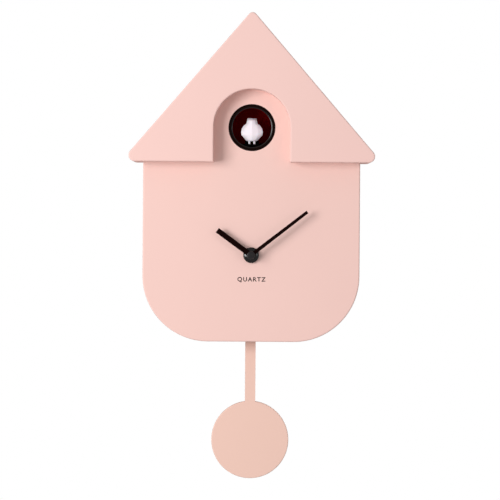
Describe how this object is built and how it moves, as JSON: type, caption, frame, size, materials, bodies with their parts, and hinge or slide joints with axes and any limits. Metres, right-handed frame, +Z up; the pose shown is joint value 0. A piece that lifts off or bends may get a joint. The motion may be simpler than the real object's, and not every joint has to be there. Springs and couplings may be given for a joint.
{
  "type": "cuckoo clock",
  "caption": "Battery wall clock shaped like a gabled house, with a bird that slides out of a round doorway, two hands on a plain dial and a disc pendulum.",
  "frame": {"origin": "centre of the hanging keyhole's round opening, on the plane of the wall", "axes": "+Y out of the keyhole into the wall, so the dial looks along -Y; +Z up; +X to the viewer's right"},
  "size_m": [0.2148, 0.079, 0.4089],
  "materials": {
    "pink_roof": "fine matt moulded",
    "pink_house": "fine matt moulded",
    "pink_pendulum": "fine matt moulded",
    "black_gloss": "glossy",
    "maroon_plastic": "satin",
    "black_plastic": "matt",
    "hand_paint": "matt paint",
    "white_plastic": "satin",
    "rear_plastic": "fine texture",
    "natural_plastic": "satin",
    "screw_steel": "zinc plated",
    "spring_steel": "nickel plated",
    "cell_jacket": "printed film over steel",
    "magnet_grey": "sintered",
    "paper_cone": "pressed paper",
    "board_green": "solder mask",
    "part_black": "moulded",
    "copper_coil": "enamelled wire",
    "washer_rubber": "matt",
    "wheel_brass": "cut",
    "wire_red": "insulation",
    "wire_black": "insulation"
  },
  "bodies": {
    "case": {"roof_shell": "pink_roof", "house_shell": "pink_house", "roof_screws": "screw_steel", "back_cover": "rear_plastic", "cover_screws": "screw_steel", "battery_low": "cell_jacket", "battery_middle": "cell_jacket", "battery_top": "cell_jacket", "contact_plates": "spring_steel", "contact_leaves": "spring_steel", "speaker_frame": "black_plastic", "speaker_cone": "paper_cone", "speaker_magnet": "magnet_grey", "speaker_screws": "screw_steel", "circuit_board": "board_green", "board_parts": "part_black", "board_screws": "screw_steel", "mode_switch": "part_black", "volume_switch": "part_black", "button_switch": "part_black", "movement_case": "black_plastic", "movement_cover": "black_plastic", "movement_coil": "copper_coil", "rubber_washer": "washer_rubber", "hub_nut": "black_gloss", "doorway_ring": "black_gloss", "bird_tube": "maroon_plastic", "bird_frame": "black_plastic", "frame_screws": "screw_steel", "bird_motor": "screw_steel", "drive_case": "black_plastic", "drive_cover": "black_plastic", "drive_coil": "copper_coil", "drive_screws": "screw_steel", "pivot_pin": "screw_steel", "speaker_wire": "wire_black", "motor_wire": "wire_black", "drive_wire": "wire_red", "battery_wire": "wire_red"},
    "minute": {"minute_hand": "hand_paint", "hub_cap": "black_gloss"},
    "hour": {"hour_hand": "hand_paint"},
    "motion_work": {"motion_wheel": "natural_plastic", "set_knob": "black_plastic"},
    "bird_on_stage": {"bird_carriage": "black_plastic", "bird": "white_plastic"},
    "reduction": {"reduction_gear": "natural_plastic"},
    "rotor": {"motor_pinion": "wheel_brass"},
    "pendulum": {"pendulum_arm": "black_plastic", "arm_magnet": "magnet_grey", "pendulum_blade": "pink_pendulum", "bob_weight": "screw_steel", "bob_cover": "rear_plastic", "bob_screws": "screw_steel"},
    "battery_door": {"battery_door": "rear_plastic"},
    "mode_slider": {"mode_slider": "white_plastic"},
    "volume_slider": {"volume_slider": "white_plastic"},
    "test_button": {"test_button": "white_plastic"}
  },
  "joints": [
    {"name": "minute_turn", "type": "hinge", "parent": "case", "child": "minute", "pos_m": [0, -0.07, -0.1513], "axis": [0, 1, 0], "continuous": true},
    {"name": "hour_turn", "type": "hinge", "parent": "case", "child": "hour", "pos_m": [0, -0.07, -0.1513], "axis": [0, 1, 0], "continuous": true},
    {"name": "motion_turn", "type": "hinge", "parent": "case", "child": "motion_work", "pos_m": [0, -0.05, -0.1417], "axis": [0, 1, 0], "continuous": true},
    {"name": "bird_slide", "type": "slide", "parent": "case", "child": "bird_on_stage", "axis": [0, -1, 0], "range_m": [0, 0.02]},
    {"name": "reduction_turn", "type": "hinge", "parent": "case", "child": "reduction", "pos_m": [0, -0.03192, -0.0717], "axis": [1, 0, 0], "range_deg": [0, 239.2]},
    {"name": "rotor_turn", "type": "hinge", "parent": "case", "child": "rotor", "pos_m": [0.0185, -0.03192, -0.0827], "axis": [1, 0, 0], "range_deg": [-1075.3, 0]},
    {"name": "pendulum_swing", "type": "hinge", "parent": "case", "child": "pendulum", "pos_m": [0, -0.0385, -0.1893], "axis": [0, 1, 0], "range_deg": [-8, 8]},
    {"name": "battery_door_off", "type": "slide", "parent": "case", "child": "battery_door", "axis": [0, 1, 0], "range_m": [0, 0.02]},
    {"name": "mode_slide", "type": "slide", "parent": "case", "child": "mode_slider", "axis": [1, 0, 0], "range_m": [0, 0.004]},
    {"name": "volume_slide", "type": "slide", "parent": "case", "child": "volume_slider", "axis": [1, 0, 0], "range_m": [0, 0.004]},
    {"name": "test_press", "type": "slide", "parent": "case", "child": "test_button", "axis": [0, -1, 0], "range_m": [0, 0.001], "stiffness_N_per_m": 200}
  ],
  "couplings": [
    {"joint": "hour_turn", "follows": "minute_turn", "ratio": 0.083333},
    {"joint": "motion_turn", "follows": "minute_turn", "ratio": -0.33333},
    {"joint": "reduction_turn", "follows": "bird_slide", "rad_per_m": 208.33},
    {"joint": "rotor_turn", "follows": "bird_slide", "rad_per_m": -937.5}
  ]
}
